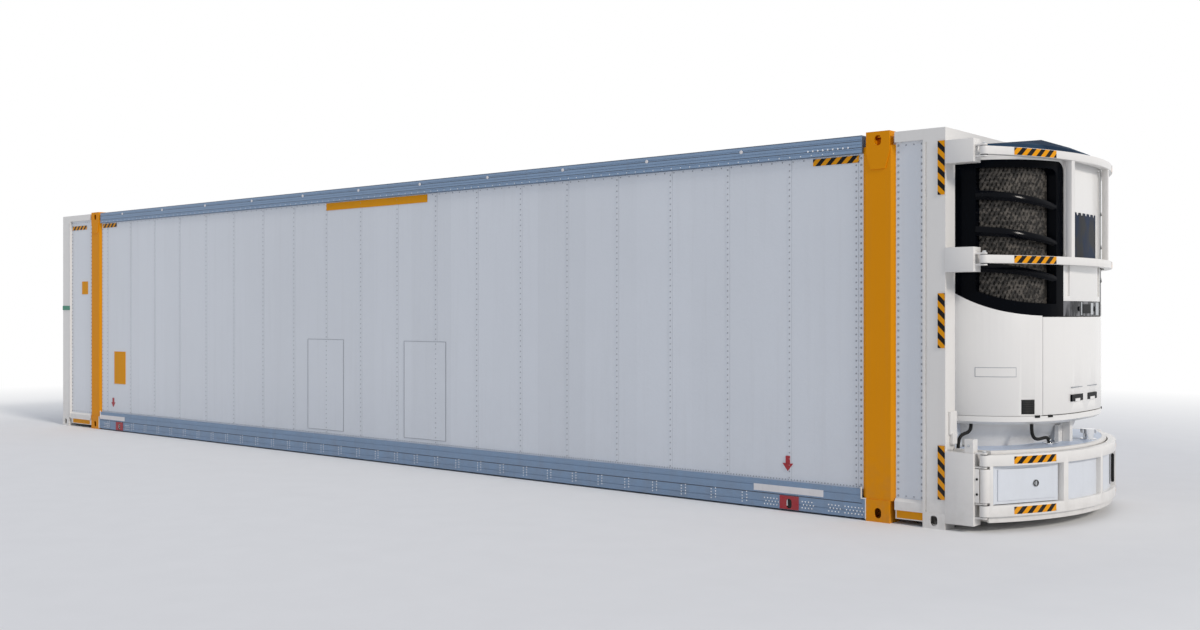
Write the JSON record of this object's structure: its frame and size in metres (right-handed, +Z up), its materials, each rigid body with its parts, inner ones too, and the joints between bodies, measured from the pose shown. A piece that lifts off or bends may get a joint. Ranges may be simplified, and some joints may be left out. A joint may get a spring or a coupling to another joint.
{
  "type": "refrigerated shipping container",
  "caption": "Long insulated shipping container with yellow lift posts, a refrigeration unit on its nose, swinging guards, a locker door and a wrap-around tank.",
  "frame": {"origin": "under the middle of the container's box, on the ground", "axes": "+X from the rear doors to the nose, +Y to the side away from the guards' hinges, +Z up"},
  "size_m": [14.173, 2.5, 2.997],
  "materials": {
    "white_paint": "gloss paint",
    "yellow_paint": "gloss paint",
    "grey_steel": "satin paint",
    "rail_aluminium": "mill finish, ribbed",
    "panel_sheet": "pre-painted sheet",
    "galvanised_steel": "galvanised",
    "red_paint": "gloss paint",
    "deck_paint": "satin paint",
    "chrome_fitting": "polished",
    "black_rubber": "matt",
    "black_steel": "satin",
    "mesh_steel": "finned coil behind mesh",
    "black_plastic": "gloss",
    "cowl_plastic": "gloss",
    "window_tint": "gloss",
    "display_glass": "gloss"
  },
  "bodies": {
    "container": {"lift_posts": "yellow_paint", "lower_lift_castings": "yellow_paint", "upper_lift_castings": "yellow_paint", "bolster_beams": "grey_steel", "side_wall_left": "panel_sheet", "side_wall_right": "panel_sheet", "top_rails": "rail_aluminium", "bottom_rails": "rail_aluminium", "bay_walls": "panel_sheet", "bay_rails": "white_paint", "roof": "panel_sheet", "floor": "rail_aluminium", "crossmembers": "grey_steel", "front_posts": "white_paint", "front_beams": "white_paint", "front_wall": "panel_sheet", "end_castings": "white_paint", "rear_posts": "white_paint", "rear_beams": "white_paint", "rear_doors": "white_paint", "lock_rods": "galvanised_steel", "door_hinges": "galvanised_steel", "restraint_plates": "red_paint", "guard_brackets": "white_paint", "tank_wall": "white_paint", "tank_bottom": "white_paint", "tank_deck": "deck_paint", "filler_cap": "chrome_fitting", "hoses": "black_rubber", "unit_core": "black_steel", "unit_belly": "white_paint", "unit_lip": "cowl_plastic", "side_cowls": "cowl_plastic", "grille_surround": "black_plastic", "condenser_mesh": "mesh_steel", "louvre_blades": "black_plastic", "front_panel": "cowl_plastic", "window_plate": "window_tint", "display_strip": "display_glass", "top_cover": "black_plastic", "front_door": "cowl_plastic", "door_handles": "black_plastic"},
    "upper_guard": {"upper_guard": "white_paint"},
    "lower_guard": {"lower_guard": "white_paint", "guard_panels": "panel_sheet"},
    "locker_door": {"locker_door": "panel_sheet", "ring_latch": "galvanised_steel"}
  },
  "joints": [
    {"name": "upper_guard_swing", "type": "hinge", "parent": "container", "child": "upper_guard", "pos_m": [6.6525, -1.2, 2.385], "axis": [0, 0, -1], "range_deg": [0, 100]},
    {"name": "lower_guard_swing", "type": "hinge", "parent": "container", "child": "lower_guard", "pos_m": [6.6525, -1.2, 0.345], "axis": [0, 0, -1], "range_deg": [0, 100]},
    {"name": "locker_door_swing", "type": "hinge", "parent": "lower_guard", "child": "locker_door", "pos_m": [6.69564, -1.1444, 0.346], "axis": [0, 0, -1], "range_deg": [0, 90]}
  ]
}
